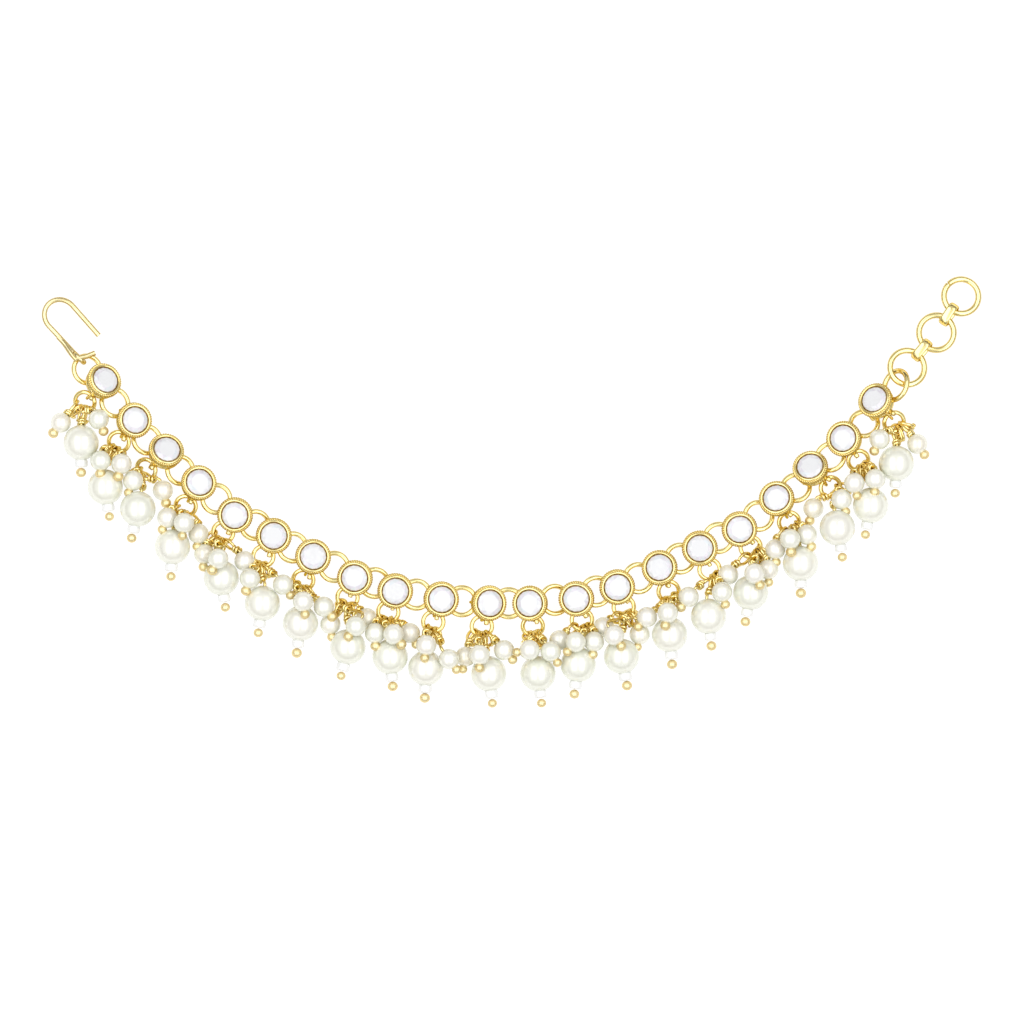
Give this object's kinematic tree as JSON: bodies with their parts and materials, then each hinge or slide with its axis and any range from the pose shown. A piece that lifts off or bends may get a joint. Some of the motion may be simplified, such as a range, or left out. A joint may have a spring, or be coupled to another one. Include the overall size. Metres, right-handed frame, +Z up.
{
  "type": "earring chain with pearl drops",
  "caption": "Flexible festoon chain of an earring: round faceted stones in rope-rimmed gold cups on link rings, pearl clusters below, a wire hook at one end and plain rings at the other.",
  "frame": {"origin": "middle of the bounding box, on the surface that the chain lies on", "axes": "+X along the chain from the hook's end to the end rings, +Z up out of the stones' faces, +Y away from the drops"},
  "size_m": [0.142, 0.0652, 0.0075],
  "materials": {
    "gold": "polished yellow gold plating",
    "pale_gold": "polished pale gold",
    "pearl": "pearl coating over glass",
    "stone": "faceted crystal, foiled behind",
    "spacer": "translucent white"
  },
  "bodies": {
    "root": {"hook": "pale_gold", "hook_ring": "gold", "setting_01": "gold", "setting_02": "gold", "setting_03": "gold", "setting_04": "gold", "setting_05": "gold", "setting_06": "gold", "setting_07": "gold", "setting_08": "gold", "setting_09": "gold", "setting_10": "gold", "setting_11": "gold", "setting_12": "gold", "setting_13": "gold", "setting_14": "gold", "setting_15": "gold", "setting_16": "gold", "setting_17": "gold", "setting_18": "gold", "setting_19": "gold", "setting_20": "gold", "setting_21": "gold", "drop_01": "pearl", "drop_02": "pearl", "drop_03": "pearl", "drop_04": "pearl", "drop_05": "pearl", "drop_06": "pearl", "drop_07": "pearl", "drop_08": "pearl", "drop_09": "pearl", "drop_10": "pearl", "drop_11": "pearl", "drop_12": "pearl", "drop_13": "pearl", "drop_14": "pearl", "drop_15": "pearl", "drop_16": "pearl", "drop_17": "pearl", "drop_18": "pearl", "drop_19": "pearl", "drop_20": "pearl", "drop_21": "pearl", "end_ring_1": "gold", "end_ring_2": "gold", "end_ring_3": "gold", "end_link_1": "gold", "end_link_2": "gold"}
  },
  "joints": []
}
